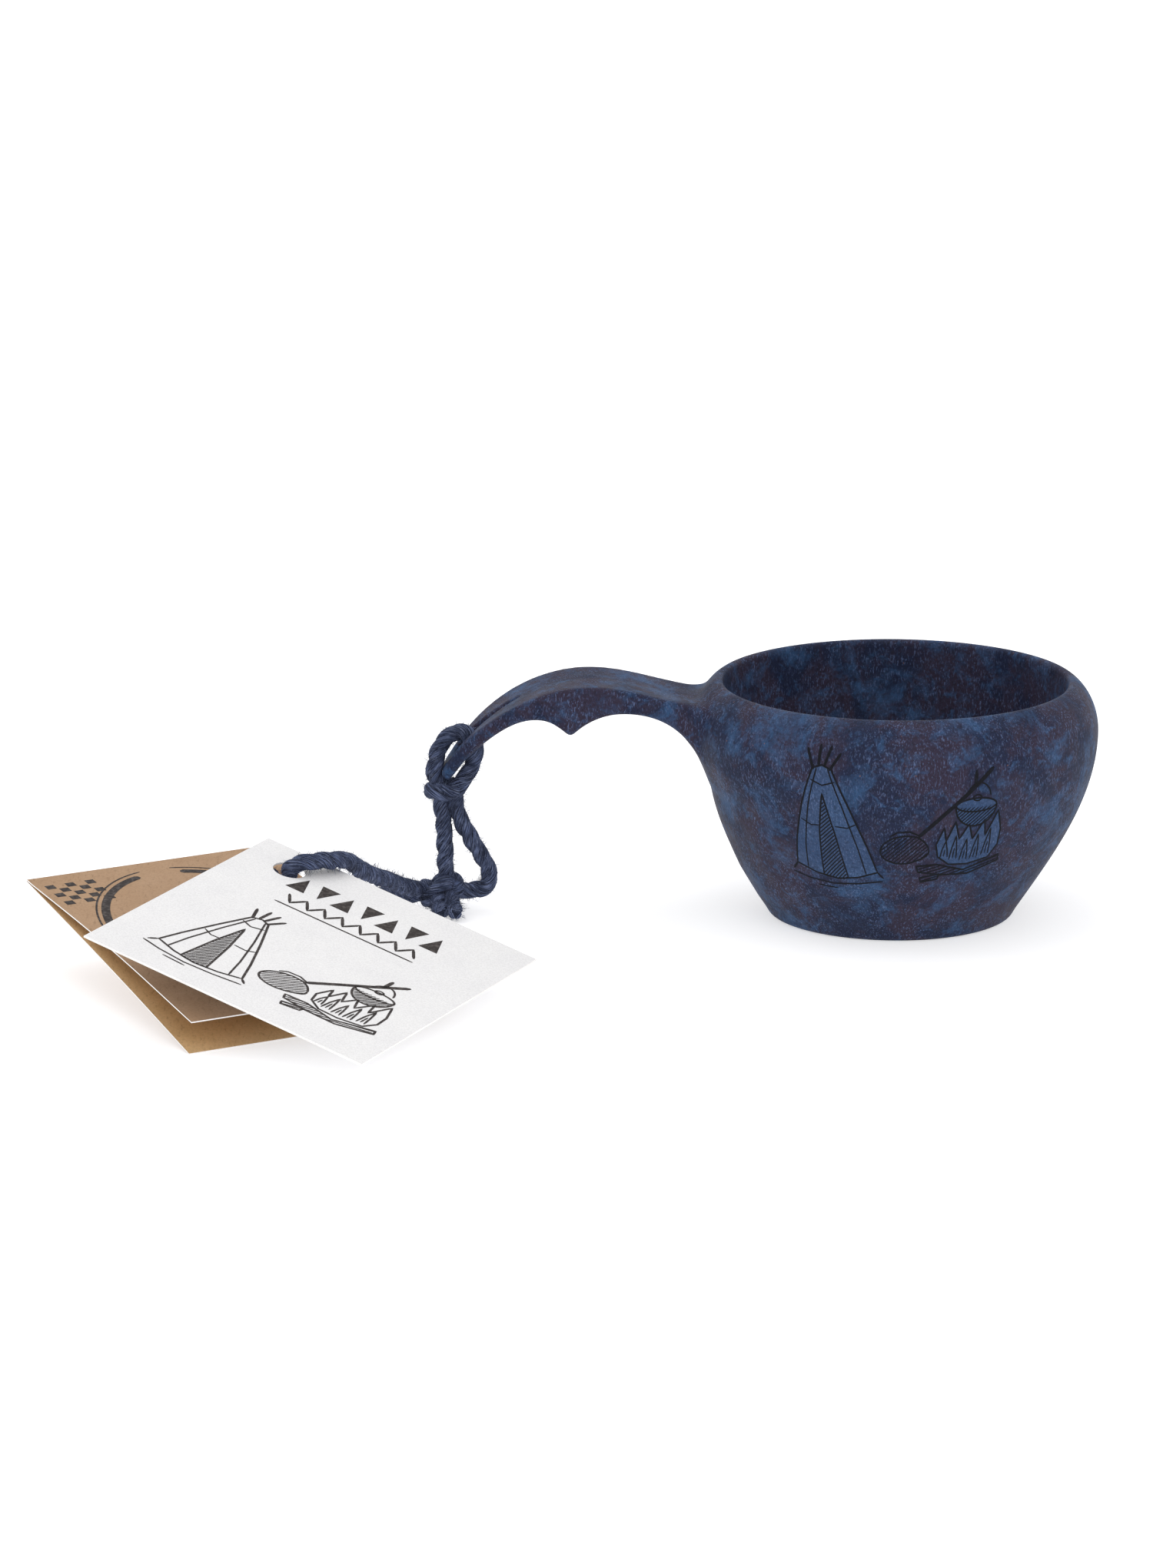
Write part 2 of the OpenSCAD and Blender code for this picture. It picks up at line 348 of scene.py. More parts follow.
def carried_frames(path, closed=False):
    """Two side directions at each point, carried along without twisting."""
    n = len(path)
    heads = []
    for i in range(n):
        a, b = (path[i - 1], path[(i + 1) % n]) if closed else (path[max(0, i - 1)], path[min(n - 1, i + 1)])
        heads.append((b - a).normalized())
    side = Vector((0.2, 1, 0.1))
    out = []
    for t in heads:
        side = (side - t * side.dot(t)).normalized()
        out.append((t, side, t.cross(side)))
    return out


def twisted(path, length, seed, closed=False, phase=0.0, taper=0.0, hairs=HAIRS):
    """The plies of a stretch of cord, and hairs that stand off it (per metre): verts, faces, uvs."""
    rnd = random.Random(seed)
    frames = carried_frames(path, closed)
    n = len(path)
    turns = length / LAY
    if closed:      # whole turns, so that the ends meet
        turns = max(1, round(turns * 3) / 3)
        a, b = frames[0][1], frames[-1][1]
        slip = math.atan2(a.cross(b).dot(frames[0][0]), a.dot(b))
    verts, faces, uvs = [], [], []
    wobble = [[rnd.uniform(-1, 1) for _ in range(8)] for _ in range(3)]
    for k in range(3):
        first = len(verts)
        for i, (p, (t, a, b)) in enumerate(zip(path, frames)):
            s = i / (n if closed else n - 1)
            w = phase + TAU * (turns * s + k / 3) - (slip * s if closed else 0)
            w += 0.12 * math.sin(TAU * 3.1 * turns * s / 2 + 6 * wobble[k][0]) * (0 if closed else 1)
            size = 1 + 0.05 * math.sin(11 * s * turns / 3 * TAU / 4 + 5 * wobble[k][1])
            if taper:
                size *= 1 - taper * smoothstep(0.75, 1.0, s)
            out = a * math.cos(w) + b * math.sin(w)
            across = t.cross(out)
            c = p + out * PLY_OFFSET * size
            for j in range(PLY_SIDES):
                u = TAU * j / PLY_SIDES
                r = PLY_R * size * (1 + 0.035 * math.sin(3 * u + 1.7 * k + 0.9 * s * turns * TAU))
                verts.append(c + (out * math.cos(u) + across * math.sin(u) * 1.08) * r)
                uvs.append((abs(2 * j / PLY_SIDES - 1) + k * 1.7, s * length / MM))
        rings = n if closed else n - 1
        for i in range(rings):
            for j in range(PLY_SIDES):
                i2, j2 = (i + 1) % n, (j + 1) % PLY_SIDES
                faces.append((first + i * PLY_SIDES + j, first + i2 * PLY_SIDES + j,
                              first + i2 * PLY_SIDES + j2, first + i * PLY_SIDES + j2))
        if not closed:
            faces.append(tuple(first + j for j in range(PLY_SIDES)))
            faces.append(tuple(first + (n - 1) * PLY_SIDES + j for j in reversed(range(PLY_SIDES))))
    for _ in range(round(hairs * length)):
        i = rnd.randrange(1, n - 1)
        t, a, b = frames[i]
        w = rnd.uniform(0, TAU)
        out = a * math.cos(w) + b * math.sin(w)
        across = t.cross(out)
        reach = rnd.uniform(0.25, 1.0) ** 1.6 * HAIR_REACH
        start = path[i] + out * CORD_D * 0.44
        bend = (t * rnd.uniform(-1.5, 1.5) + across * rnd.uniform(-0.9, 0.9)) * reach
        r = rnd.uniform(0.04, 0.065) * MM
        first = len(verts)
        for q in range(4):
            f = q / 3
            c = start + out * (0.35 * MM + reach) * f + bend * f * f
            for v in range(3):
                x = TAU * v / 3
                verts.append(c + (t * math.cos(x) + across * math.sin(x)) * r * (1 - 0.8 * f))
                uvs.append((0.5, 0.3 * q + i))
        for q in range(3):
            for v in range(3):
                faces.append((first + q * 3 + v, first + q * 3 + (v + 1) % 3,
                              first + q * 3 + 3 + (v + 1) % 3, first + q * 3 + 3 + v))
    return verts, faces, uvs


def joined(parts):
    verts, faces, uvs = [], [], []
    for v, f, u in parts:
        faces += [tuple(i + len(verts) for i in face) for face in f]
        verts += v
        uvs += u
    return verts, faces, uvs


def cord_piece(name, parts):
    verts, faces, uvs = joined(parts)
    verts = [Vector((v[0], v[1], max(v[2], LOWEST))) for v in verts]
    ob = mesh_object(name, verts, faces, [MAT_CORD], uvs=uvs)
    return ob


# One yarn, from the lower knot up, through the handle's slot, round its tip and down again
LANYARD = mm([(-105.2, 0, 8), (-105.4, 0, 15.4), (-105.6, 0, 20.6), (-106.0, 0, 24.6), (-106.2, 0, 28),
              (-107, 0, 30.6), (-107.8, 0, 33.6), (-107.3, 0, 37.0), (-106.2, 0, 40.1), (-104.2, 0, 42.4),
              (-101.7, 0, 43.2), (-99.5, 0, 42.0), (-98.3, 0, 39.6), (-98.6, 0, 36.4), (-100.0, 0, 33.2),
              (-101.9, 0, 30.6), (-102.9, 0, 28), (-102.6, 0, 24.6), (-100.8, 0, 20.2), (-97.7, 0, 14.8),
              (-95.2, 0, 10.2), (-95.0, 0, 7.4), (-96.6, 0, 5.4), (-99.4, 0, 4.8), (-102.5, 0, 4.8)])
lanyard_path, lanyard_length = curve_through(LANYARD, STEP)
lanyard = cord_piece("lanyard_loop", [twisted(lanyard_path, lanyard_length, seed=3)])
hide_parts("cord_eye", "cord_strand_straight", "cord_strand_bowed")
HITCH_AT = Vector((-105, 0, 28.6)) * MM
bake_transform(lanyard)

TAG_LOOP = mm([(-108.5, -0.2, 5), (-110.6, -0.6, 5.2), (-114.8, -9, 8.2), (-117.8, -18, 12),
               (-121, -28, 15.8), (-124.5, -37, 20), (-126.6, -43.1, 23.4), (-129.6, -47.7, 24.8),
               (-134, -51.3, 25.5), (-137.4, -53, 25.5), (-139.4, -52.6, 24), (-140.2, -51.6, 21.6),
               (-141, -49.4, 19.6), (-143, -45.6, 19.4), (-145.6, -41, 20.2), (-148, -37, 20.9),
               (-149.2, -34.6, 19.6), (-149.4, -33, 16.4), (-148.4, -31, 12.6), (-145.6, -26, 8.6),
               (-140.6, -17, 5.2), (-134, -6.6, 3), (-127, 1.2, 2.4), (-120, 4.2, 2.4), (-114.5, 2.6, 3),
               (-110.8, 1, 4)])
tag_path, tag_length = curve_through(TAG_LOOP, STEP)
tag_loop = cord_piece("tag_loop", [twisted(tag_path, tag_length, seed=5)])
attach(tag_loop, "tag_cord")
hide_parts("cord_tag_loop")


def knot_ring(centre, size, lobe, rise, tilt, count=48):
    """A closed ring of cord that winds twice and over itself, as a pulled knot does."""
    turn = Matrix.Rotation(tilt, 3, "Y")
    out = []
    for i in range(count):
        a = TAU * i / count
        r = 1 + lobe * math.cos(3 * a)
        out.append(centre + turn @ Vector((size[0] * r * math.cos(2 * a), size[1] * r * math.sin(2 * a),
                                           rise * math.sin(3 * a))) * MM)
    return out


def wrap_ring(centre, size, tilt, count=24):
    """A closed ring of cord round the two strands."""
    turn = Matrix.Rotation(tilt, 3, "Y")
    out = []
    for i in range(count):
        a = TAU * i / count
        out.append(centre + turn @ Vector((size[0] * math.cos(a), size[1] * math.sin(a),
                                           0.4 * math.sin(2 * TAU * i / count))) * MM)
    return out


HITCH_MIDDLE = HITCH_AT + Vector((-0.9, 0, 0.8)) * MM
hitch_path, hitch_length = curve_through(wrap_ring(HITCH_MIDDLE, (2.6, 2.8), -0.12), STEP, closed=True)
hitch = cord_piece("hitch_wrap", [twisted(hitch_path, hitch_length, seed=7, closed=True)])
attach(hitch, "cup")
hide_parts("cord_hitch")

KNOT_AT = Vector((-106.5, 0, 5)) * MM
knot_path, knot_length = curve_through(knot_ring(KNOT_AT, (3.3, 2.3), 0.2, 1.5, -0.32), STEP, closed=True)
knot = cord_piece("lower_knot", [twisted(knot_path, knot_length, seed=9, closed=True)])
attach(knot, "tag_cord")
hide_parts("cord_knot")

TAILS = [mm([(-106.8, -1.2, 4.2), (-106.9, -3.6, 3.6), (-106.8, -7.5, 2.6), (-106.0, -11, 2.3)]),
         mm([(-104.9, -1.6, 4.1), (-104.0, -4.2, 3.5), (-103.2, -7.8, 2.6), (-102.8, -11.5, 2.3)])]
tail_parts = []
for i, points in enumerate(TAILS):
    path, length = curve_through(points, STEP)
    tail_parts.append(twisted(path, length, seed=11 + i, phase=i, taper=0.25, hairs=HAIRS * 1.6))
tails = cord_piece("cord_ends", tail_parts)
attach(tails, "tag_cord")
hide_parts("cord_tails")

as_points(lanyard_path)
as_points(tag_path)


# ---- cup
# In millimetres, as (distance from the axis, height) for the bowl and (x, z) for the handle
BOWL_R = 47.5       # at its widest
BOWL_H = 56.3
MOUTH_R = 40.3      # inside the lip
FLOOR_Z = 4.5       # the inside's flat bottom
FOOT_H = 0.25       # hollow under the base
GRIP_W = 23
NECK_W = 22.6       # where the handle nears the bowl
TIP_W = 12
OUTER = (bezier([(0, FOOT_H), (10, FOOT_H), (20, FOOT_H), (25.4, FOOT_H)], 8)
         + bezier([(25.4, FOOT_H), (26, FOOT_H), (26, 0), (26.6, 0)], 4)
         + bezier([(26.6, 0), (28.4, 0), (28.4, 1), (29.0, 2)], 5)
         + bezier([(29, 2), (37.1, 14.6), (BOWL_R, 28.7), (BOWL_R, 44.5)], 36)
         + bezier([(BOWL_R, 44.5), (BOWL_R, 50), (44.7, 54.3), (42.1, 55.8)], 16)
         + bezier([(42.1, 55.8), (41.5, BOWL_H), (40.8, BOWL_H), (MOUTH_R, 55.5)], 8)
         + bezier([(MOUTH_R, 55.5), (39.5, 38.3), (35.8, 16.9), (27, 9)], 36)
         + bezier([(27, 9), (23.3, 5.7), (18.3, FLOOR_Z), (13.3, FLOOR_Z)], 12)
         + bezier([(13.3, FLOOR_Z), (9, FLOOR_Z), (4, FLOOR_Z), (0, FLOOR_Z)], 6, end=True))
AROUND = 192


def lathe(profile, count):
    verts, faces = [], []
    for r, z in profile:
        if r < 1e-6:
            verts.append([Vector((0, 0, z)) * MM])
        else:
            verts.append([Vector((r * math.cos(TAU * k / count), r * math.sin(TAU * k / count), z)) * MM
                          for k in range(count)])
    index, flat = [], []
    for ring in verts:
        index.append(len(flat))
        flat += ring
    for i in range(len(profile) - 1):
        a, b = index[i], index[i + 1]
        one, two = len(verts[i]) == 1, len(verts[i + 1]) == 1
        for k in range(count):
            k2 = (k + 1) % count
            if one:
                faces.append((a, b + k2, b + k))
            elif two:
                faces.append((a + k, a + k2, b))
            else:
                faces.append((a + k, a + k2, b + k2, b + k))
    return flat, faces


# The handle's side outline, from the tip to inside the bowl's wall
TOP = (bezier([(-106.6, 33.8), (-101.4, 44.6), (-87, 56.5), (-71.5, 56.5)], 60)
       + bezier([(-71.5, 56.5), (-61, 56.5), (-54, 52.4), (-44, 52.2)], 40)
       + bezier([(-44, 52.2), (-43, 52.2), (-42, 51.8), (-41, 51)], 8, end=True))
UNDER = (bezier([(-104.6, 31.9), (-100.0, 37.6), (-92.5, 48.4), (-83.9, 48.4)], 26)
         + bezier([(-83.9, 48.4), (-80.6, 48.4), (-79.2, 47.1), (-76.7, 45.1)], 8)
         + bezier([(-76.7, 45.1), (-76.1, 44.6), (-75.7, 44.6), (-75.1, 45.1)], 5)
         + bezier([(-75.1, 45.1), (-72.4, 47.6), (-68.5, 49.8), (-63.6, 49.8)], 10)
         + bezier([(-63.6, 49.8), (-55.5, 49.8), (-49.4, 46.2), (-46.2, 39.2)], 18)
         + bezier([(-46.2, 39.2), (-45.2, 37.2), (-43.0, 34.6), (-41, 33)], 6, end=True))
TIP_X, ROOT_X = -107, -47.5
GRIP, NECK, TIP = GRIP_W / 2, NECK_W / 2, TIP_W / 2
# Half of the handle seen from above, as (x, half width)
PLAN = (bezier([(TIP_X + 0.6, 3.4), (TIP_X + 1.2, 5.2), (TIP_X + 3, TIP), (TIP_X + 6, TIP)], 6)
        + bezier([(TIP_X + 6, TIP), (TIP_X + 10, 8.6), (TIP_X + 14, GRIP), (TIP_X + 24, GRIP)], 12)
        + bezier([(TIP_X + 24, GRIP), (TIP_X + 32, GRIP), (ROOT_X - 16, NECK), (ROOT_X - 8, NECK)], 6)
        + bezier([(ROOT_X - 8, NECK), (ROOT_X - 3, NECK), (ROOT_X - 1, 11.8), (ROOT_X + 2.6, 13.6)], 12)
        + bezier([(ROOT_X + 2.6, 13.6), (ROOT_X + 3.4, 13.9), (ROOT_X + 5, 14.2), (ROOT_X + 7, 14.2)],
                 3, end=True))


def half_width(x):
    if x <= PLAN[0][0]:
        return PLAN[0][1]
    for (x0, w0), (x1, w1) in zip(PLAN, PLAN[1:]):
        if x <= x1:
            return lerp(w0, w1, (x - x0) / max(1e-9, x1 - x0))
    return PLAN[-1][1]


def handle_section(top, under, w):
    """One ring of the handle: flat, barely dished top with crisp edges, straight sides, rounded belly."""
    up = Vector((top[0] - under[0], 0, top[1] - under[1]))
    h = up.length
    up.normalize()
    dish = min(0.35, 0.06 * w)
    belly = min(h * 0.45, 1.8)
    half = [(0, h - dish), (w * 0.45, h - dish * 0.75), (w * 0.8, h - dish * 0.2), (w - 0.75, h - 0.02),
            (w - 0.3, h - 0.06), (w - 0.06, h - 0.32), (w, h - 0.8)]
    for k in range(7):      # side into belly
        a = math.pi / 2 * k / 6
        half.append((w - belly * (1 - math.cos(a)), belly * (1 - math.sin(a))))
    half += [((w - belly) * 0.5, -0.06), (0, -0.1)]
    ring = []
    base = Vector((under[0], 0, under[1]))
    full = half + [(-y, z) for y, z in reversed(half[1:-1])]
    for y, z in full:
        ring.append((base + up * z + Vector((0, y, 0))) * MM)
    return ring


def handle_mesh():
    """Rings from each point of the under outline to the nearest point, still ahead, of the top outline."""
    rings, j = [], 0
    for i, u in enumerate(UNDER):
        previous = j
        j = min(range(j, len(TOP)), key=lambda k: (TOP[k][0] - u[0]) ** 2 + (TOP[k][1] - u[1]) ** 2)
        if i and j == previous and i < len(UNDER) - 1 and j < len(TOP) - 1:
            j += 1
        top = TOP[j] if i < len(UNDER) - 1 else TOP[-1]
        x = (top[0] + u[0]) / 2
        rings.append(handle_section(top, u, half_width(x)))
    count = len(rings[0])
    verts = [v for ring in rings for v in ring]
    faces = []
    for i in range(len(rings) - 1):
        for k in range(count):
            k2 = (k + 1) % count
            faces.append((i * count + k, i * count + k2, (i + 1) * count + k2, (i + 1) * count + k))
    faces.append(tuple(reversed(range(count))))
    faces.append(tuple((len(rings) - 1) * count + k for k in range(count)))
    return verts, faces


def fixed_normals(ob):
    bm = bmesh.new()
    bm.from_mesh(ob.data)
    bmesh.ops.recalc_face_normals(bm, faces=bm.faces)
    bm.to_mesh(ob.data)
    bm.free()
    return ob


SLOT_AT = Vector((-103.6, 0, 32.2))
SLOT_ALONG = Vector((math.cos(math.radians(55)), 0, math.sin(math.radians(55))))
SLOT_OUT = Vector((-SLOT_ALONG.z, 0, SLOT_ALONG.x))
SLOT_R, SLOT_NEAR, SLOT_FAR = 2.6, 7, 12


def slot_cutter():
    outline = []
    for k in range(25):
        a = math.pi / 2 + math.pi * k / 24
        outline.append((SLOT_NEAR + SLOT_R * math.cos(a), SLOT_R * math.sin(a)))
    for k in range(25):
        a = -math.pi / 2 + math.pi * k / 24
        outline.append((SLOT_FAR + SLOT_R * math.cos(a), SLOT_R * math.sin(a)))
    verts = []
    for n in (-5, 11):
        verts += [(SLOT_AT + SLOT_ALONG * s + SLOT_OUT * n + Vector((0, y, 0))) * MM for s, y in outline]
    m = len(outline)
    faces = [(k, (k + 1) % m, m + (k + 1) % m, m + k) for k in range(m)]
    faces += [tuple(reversed(range(m))), tuple(m + k for k in range(m))]
    return verts, faces


def groove_cutter():
    """A groove that leads up from the slot along the top face and narrows to a point."""
    first, last = 17, 38        # places along TOP
    verts, rows = [], last - first
    for k in range(rows + 1):
        f = k / rows
        p, q = Vector(TOP[first + k]), Vector(TOP[first + k + 1])
        d = (q - p).normalized()
        out = Vector((-d.y, d.x))
        hw = 0.2 + 2.8 * (1 - f) ** 0.75
        deep = lerp(4.2, 1.6, f)
        for y, n in ((-hw, 1.5), (hw, 1.5), (hw * 0.8, -deep), (-hw * 0.8, -deep)):
            c = p + out * n
            verts.append(Vector((c.x, y, c.y)) * MM)
    faces = []
    for k in range(rows):
        for j in range(4):
            j2 = (j + 1) % 4
            faces.append((k * 4 + j, k * 4 + j2, k * 4 + 4 + j2, k * 4 + 4 + j))
    faces += [(3, 2, 1, 0), tuple(rows * 4 + j for j in range(4))]
    return verts, faces


handle = fixed_normals(mesh_object("handle_form", *handle_mesh(), [MAT_BODY]))
for cutter_mesh in (slot_cutter(), groove_cutter()):
    cutter = fixed_normals(mesh_object("cutter", *cutter_mesh, [MAT_BODY]))
    applied(handle, ("BOOLEAN", dict(operation="DIFFERENCE", object=cutter, solver="EXACT")))
    remove(cutter)
bowl = fixed_normals(mesh_object("bowl_form", *lathe(OUTER, AROUND), [MAT_BODY]))
both_verts = [v.co.copy() for v in bowl.data.vertices] + [v.co.copy() for v in handle.data.vertices]
offset = len(bowl.data.vertices)
both_faces = ([tuple(p.vertices) for p in bowl.data.polygons]
              + [tuple(i + offset for i in p.vertices) for p in handle.data.polygons])
remove(bowl)
remove(handle)
cup = mesh_object("cup_body", both_verts, both_faces, [MAT_BODY])
VOXEL = 0.45 * MM
applied(cup, ("REMESH", dict(mode="VOXEL", voxel_size=VOXEL, use_smooth_shade=True)))


def relaxed(ob, weight, rounds, factor):
    """Moves each point towards the middle of its neighbours, by factor times its weight."""
    me = ob.data
    co = np.empty(len(me.vertices) * 3)
    me.vertices.foreach_get("co", co)
    co = co.reshape(-1, 3)
    edges = np.empty(len(me.edges) * 2, np.int32)
    me.edges.foreach_get("vertices", edges)
    a, b = edges.reshape(-1, 2).T
    count = np.bincount(a, minlength=len(co)) + np.bincount(b, minlength=len(co))
    for _ in range(rounds):
        total = np.empty_like(co)
        for k in range(3):
            total[:, k] = np.bincount(a, co[b, k], len(co)) + np.bincount(b, co[a, k], len(co))
        co += (total / count[:, None] - co) * (factor * weight(co))[:, None]
    me.vertices.foreach_set("co", co.ravel())
    me.update()
    return co


def everywhere(co):
    return np.ones(len(co))


def at_root(co):
    """1 where the handle runs into the bowl's outside, falling to 0 around it."""
    x, y, z = co.T / MM
    near_x = np.exp(-((x + 46.5) / 3.6) ** 2)
    outside = 1 / (1 + np.exp(-(np.hypot(x, y) - 43.2) * 3))
    return near_x * outside * (np.abs(y) < 20) * np.clip((z - 27) / 4, 0, 1) * (z < 54.6)


def below_root(co):
    """1 on the outside wall just under the handle, falling to 0 around it."""
    x, y, z = co.T / MM
    outside = 1 / (1 + np.exp(-(np.hypot(x, y) - 41.5) * 3))
    return np.exp(-((z - 36.5) / 4) ** 2) * np.exp(-(y / 14) ** 4) * outside * (x < -36)


relaxed(cup, everywhere, 5, 0.45)
co = relaxed(cup, at_root, 46, 0.6)

# The left side of the bowl is straighter than the right. (height, how far its wall stands in or out)
LEFT_WALL = [(0, 1.1), (5, 1.25), (12, 0.85), (17.3, 0), (24, -0.9), (30.7, -1.9), (35.2, -1.4), (39.6, -0.3),
             (43, 0), (60, 0)]
# (height, radius) at which the inside ends and the outer wall that moves begins
INSIDE = [(0, 20), (9, 28.5), (17, 34.4), (29, 38.2), (42, 41), (56, 41.8)]
x, y, z = co.T
radius = np.hypot(x, y)
leftness = np.clip(-x / np.maximum(radius, 1e-9), 0, 1) ** 2.2
shell = np.clip((radius / MM - np.interp(z / MM, *zip(*INSIDE))) / 1.5, 0, 1)
handle_side = np.clip((radius / MM - 49.5) / 3, 0, 1)
shift = np.interp(z / MM, *zip(*LEFT_WALL)) * MM * leftness * shell * (1 - handle_side)
co[:, 0] += x / np.maximum(radius, 1e-9) * shift
co[:, 1] += y / np.maximum(radius, 1e-9) * shift
co[:, 2] = np.maximum(co[:, 2], 0)
cup.data.vertices.foreach_set("co", co.ravel())
cup.data.update()
relaxed(cup, below_root, 40, 0.6)
cup.data.polygons.foreach_set("use_smooth", [True] * len(cup.data.polygons))
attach(cup, "cup")
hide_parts("bowl", "handle")


# ---- drawings, in millimetres on the flat
def arc(cx, cz, rx, rz, a0, a1, n=24):
    angles = [math.radians(lerp(a0, a1, k / n)) for k in range(n + 1)]
    return [(cx + rx * math.cos(a), cz + rz * math.sin(a)) for a in angles]


def tent():
    """A conical tent: its outline, and the lines of its poles, seams and doorway."""
    outline = [(-28.6, 20.6), (-26.9, 27.0), (-23.9, 36.6), (-20.9, 45.4), (-18.6, 46.2), (-16.4, 45.2),
               (-12.5, 36.2), (-8.7, 26.6), (-6.4, 19.8), (-11.6, 18.2), (-17.4, 17.5), (-23.4, 18.6)]
    door = [(-18.7, 39.5), (-20.2, 30.0), (-21.3, 18.1), (-17.4, 17.5), (-14.4, 17.8), (-16.4, 29.6)]
    lines = [(outline + outline[:1], 0.44), (door + door[:1], 0.4)]
    for foot, top in (((-20.6, 45.0), (-22.3, 49.8)), ((-19.4, 45.8), (-19.2, 50.8)),
                      ((-18.1, 45.8), (-16.6, 50.6)), ((-16.9, 45.0), (-14.3, 49.2))):
        lines.append(([foot, top], 0.62))
    lines += [([(-19.9, 45.4), (-22.4, 36), (-24.6, 26), (-25.6, 19.4)], 0.34),
              ([(-17.3, 45.4), (-14.0, 36), (-11.0, 26), (-9.4, 19.0)], 0.34),
              ([(-21.4, 42.6), (-18.6, 41.4), (-15.6, 42.4)], 0.34),
              ([(-24.7, 32.6), (-22.2, 31.2), (-19.9, 31.4)], 0.3),
              ([(-16.2, 31.4), (-13.2, 31.2), (-10.9, 32.4)], 0.3),
              ([(-28.6, 20.6), (-30.4, 18.8)], 0.5), ([(-6.4, 19.8), (-4.8, 18.2)], 0.5)]
    return outline, lines + [(stroke, 0.3) for stroke in hatched(door, 0.9, 0.9)]


def stone(cx, cz, rx, rz, seed):
    """A rounded, slightly uneven outline."""
    rnd = random.Random(seed)
    out = []
    for k in range(41):
        a = TAU * k / 40
        x = cx + rx * math.cos(a) * (1 + 0.05 * math.sin(3 * TAU * k / 40 + seed))
        z = cz + rz * math.sin(a) * (1 + 0.07 * math.sin(2 * TAU * k / 40 + 2 * seed))
        out.append((x, z + rnd.uniform(-0.05, 0.05)))
    return out


def inside(point, poly):
    x, z = point
    hit = False
    for (x0, z0), (x1, z1) in zip(poly, poly[1:] + poly[:1]):
        if (z0 > z) != (z1 > z) and x < (x1 - x0) * (z - z0) / (z1 - z0) + x0:
            hit = not hit
    return hit


def hatched(poly, gap, slope):
    """Slanting strokes that fill a closed outline."""
    xs, zs = [p[0] for p in poly], [p[1] for p in poly]
    strokes = []
    c = min(zs) - (max(xs) - min(xs)) * slope
    while c < max(zs) + (max(xs) - min(xs)) * slope:
        run = []
        for k in range(121):
            x = lerp(min(xs), max(xs), k / 120)
            z = c + slope * (x - min(xs))
            if inside((x, z), poly):
                run.append((x, z))
            else:
                if len(run) > 2:
                    strokes.append([run[0], run[-1]])
                run = []
        c += gap
    return strokes


def camp_scene():
    """A tent, a boulder and a kettle over a camp fire. Gives fills, and lines with their widths."""
    fills, lines = [], []
    outline, tent_lines = tent()
    fills.append(outline)
    lines += tent_lines
    lines += [([(-31, 18.0), (-26, 16.8), (-19, 16.0), (-12, 16.4), (-5, 17.4)], 0.36),
              ([(-24, 15.2), (-18, 14.8)], 0.32)]
    boulder = stone(0.4, 26.0, 5.9, 3.6, 3)
    lines += [(boulder, 0.42)] + [(s, 0.26) for s in hatched(boulder, 1.0, 0.9)]
    lines += [([(-3.2, 29.4), (-1.5, 30.6), (1.5, 30.8), (4.2, 29.6)], 0.4)]
    # a forked pole with a kettle
    lines += [([(3.6, 29.4), (9.4, 35.0), (14.4, 39.6), (20.6, 45.6)], 0.95),
              ([(16.2, 41.2), (16.4, 45.2)], 0.8)]
    kettle = arc(16.9, 36.6, 5.0, 5.0, 180, 360, 22) + arc(16.9, 36.6, 5.0, 1.9, 0, 180, 16)
    fills.append(kettle)
    lines += [(kettle + kettle[:1], 0.42), (arc(16.9, 36.9, 5.0, 1.7, 180, 360), 0.4),
              (arc(17.2, 38.2, 3.0, 4.0, 10, 170), 0.36), (arc(16.9, 38.6, 1.0, 0.7, 0, 360), 0.36)]
    lines += [(s, 0.28) for s in hatched(arc(16.9, 36.4, 5.0, 5.0, 180, 360, 22), 0.9, 0.9)]
    # flames
    flame = [(8.8, 24.0), (8.0, 27.2), (9.6, 31.6), (10.4, 28.0), (12.2, 33.0), (13.6, 28.4), (15.6, 32.2),
             (17.0, 28.2), (19.4, 33.0), (20.2, 28.8), (22.6, 35.0), (24.2, 30.0), (24.4, 26.0), (22.6, 22.8),
             (17.0, 21.6), (12.0, 21.8)]
    fills.append(flame)
    lines.append((flame + flame[:1], 0.42))
    for cx, cz, h in ((10.4, 23.6, 4.6), (12.8, 23.0, 6.4), (15.6, 22.6, 5.8), (18.4, 22.8, 6.6),
                      (21.4, 23.6, 7.0)):
        tongue = [(cx - 1.0, cz), (cx - 0.7, cz + h * 0.5), (cx, cz + h), (cx + 0.6, cz + h * 0.45),
                  (cx + 0.9, cz + 0.2)]
        lines += [(tongue, 0.34), ([(cx - 0.1, cz + 0.4), (cx, cz + h * 0.5)], 0.3)]
    # logs
    for poly in ([(3.6, 21.6), (9.0, 21.9), (16.4, 20.0), (25.8, 23.2), (26.2, 21.6), (18.0, 18.9),
                  (10.4, 19.0), (4.2, 20.0)],
                 [(4.8, 18.4), (10.0, 19.3), (9.6, 17.9), (5.2, 17.2)]):
        lines += [(poly + poly[:1], 0.46)] + [(s, 0.3) for s in hatched(poly, 0.8, 0.28)]
    return fills, lines


# ---- laying a drawing on a surface
def dense(line, step):
    out = [line[0]]
    for a, b in zip(line, line[1:]):
        n = max(1, math.ceil(math.dist(a, b) / step))
        out += [(lerp(a[0], b[0], k / n), lerp(a[1], b[1], k / n)) for k in range(1, n + 1)]
    return out


